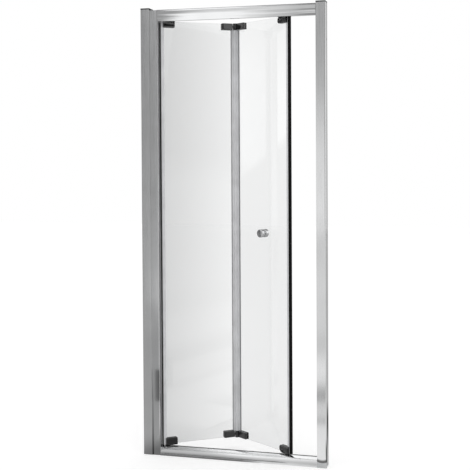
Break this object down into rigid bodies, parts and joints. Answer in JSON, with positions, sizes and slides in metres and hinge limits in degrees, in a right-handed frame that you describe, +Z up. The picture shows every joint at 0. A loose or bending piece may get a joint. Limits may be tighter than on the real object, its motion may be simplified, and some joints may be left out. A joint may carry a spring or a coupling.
{
  "type": "bifold shower door",
  "caption": "Framed bifold shower door: glass panels on a pivot and a sliding track fold into the shower between wall channels, with corner clamps, folding hinges, seals and a round knob.",
  "frame": {"origin": "middle of the sill's underside, halfway between the walls and halfway through the frame's depth", "axes": "+X along the doorway towards the latch side, +Y into the shower, +Z up"},
  "size_m": [0.77, 0.219, 1.85],
  "materials": {
    "channel_aluminium": "satin anodised",
    "post_aluminium": "satin anodised",
    "rail_aluminium": "polished",
    "cap_plastic": "matt",
    "foot_plastic": "satin",
    "cover_plastic": "gloss",
    "screw_steel": "bright",
    "black_seal": "matt",
    "black_magnet": "satin",
    "nylon": "satin",
    "glass": "clear",
    "grey_seal": "satin, slightly clear",
    "clamp_graphite": "gloss",
    "pad_rubber": "matt",
    "pin_steel": "ground",
    "knob_chrome": "polished",
    "washer_plastic": "clear"
  },
  "bodies": {
    "frame": {"left_wall_channel": "channel_aluminium", "right_wall_channel": "channel_aluminium", "hinge_post": "post_aluminium", "latch_post": "post_aluminium", "header_rail": "rail_aluminium", "sill_rail": "rail_aluminium", "left_top_cap": "cap_plastic", "right_top_cap": "cap_plastic", "right_foot_cap": "foot_plastic", "rail_screws": "screw_steel", "adjusting_screws": "screw_steel", "screw_cover_caps": "cover_plastic", "pivot_side_seal": "black_seal", "latch_magnet_strip": "black_magnet", "top_pivot_block": "nylon", "bottom_pivot_block": "nylon", "pivot_block_screws": "screw_steel"},
    "fixed_side_panel": {"fixed_side_glass": "glass", "fixed_side_edge_seal": "grey_seal", "top_pivot_clamp": "clamp_graphite", "bottom_pivot_clamp": "clamp_graphite", "top_pivot_clamp_plate": "clamp_graphite", "bottom_pivot_clamp_plate": "clamp_graphite", "pivot_clamp_pads": "pad_rubber", "pivot_clamp_screws": "screw_steel", "top_pivot_pin": "pin_steel", "bottom_pivot_pin": "pin_steel", "top_inner_hinge_leaf": "clamp_graphite", "bottom_inner_hinge_leaf": "clamp_graphite", "inner_hinge_plates": "clamp_graphite", "inner_hinge_pads": "pad_rubber", "inner_hinge_screws": "screw_steel", "folding_hinge_pins": "pin_steel", "folding_seal_bulb": "grey_seal"},
    "closing_side_panel": {"closing_side_glass": "glass", "folding_seal_cheek": "grey_seal", "top_outer_hinge_leaf": "clamp_graphite", "bottom_outer_hinge_leaf": "clamp_graphite", "outer_hinge_plates": "clamp_graphite", "outer_hinge_pads": "pad_rubber", "outer_hinge_screws": "screw_steel", "folding_hinge_bushes": "nylon", "top_slider_clamp": "clamp_graphite", "bottom_slider_clamp": "clamp_graphite", "top_slider_clamp_plate": "clamp_graphite", "bottom_slider_clamp_plate": "clamp_graphite", "slider_clamp_pads": "pad_rubber", "slider_clamp_screws": "screw_steel", "slider_lock_screws": "screw_steel", "top_slider_pin": "pin_steel", "bottom_slider_pin": "pin_steel", "magnet_carrier": "grey_seal", "door_magnet_strip": "black_magnet", "outside_knob": "knob_chrome", "inside_knob": "knob_chrome", "knob_stud": "screw_steel", "knob_washers": "washer_plastic"},
    "top_shoe": {"top_sliding_shoe": "nylon"},
    "bottom_shoe": {"bottom_sliding_shoe": "nylon"}
  },
  "joints": [
    {"name": "pivot", "type": "hinge", "parent": "frame", "child": "fixed_side_panel", "pos_m": [-0.295, 0.014, 0], "axis": [0, 0, 1], "range_deg": [-35, 52]},
    {"name": "fold", "type": "hinge", "parent": "fixed_side_panel", "child": "closing_side_panel", "pos_m": [-0.03582, 0.18083, 0], "axis": [0, 0, 1], "range_deg": [-104, 70]},
    {"name": "top_shoe_pivot", "type": "hinge", "parent": "closing_side_panel", "child": "top_shoe", "pos_m": [0.22336, 0.014, 0], "axis": [0, 0, 1], "range_deg": [-35, 52]},
    {"name": "bottom_shoe_pivot", "type": "hinge", "parent": "closing_side_panel", "child": "bottom_shoe", "pos_m": [0.22336, 0.014, 0], "axis": [0, 0, 1], "range_deg": [-35, 52]}
  ],
  "couplings": [
    {"joint": "fold", "follows": "pivot", "ratio": -2},
    {"joint": "top_shoe_pivot", "follows": "pivot", "ratio": 1},
    {"joint": "bottom_shoe_pivot", "follows": "pivot", "ratio": 1}
  ]
}
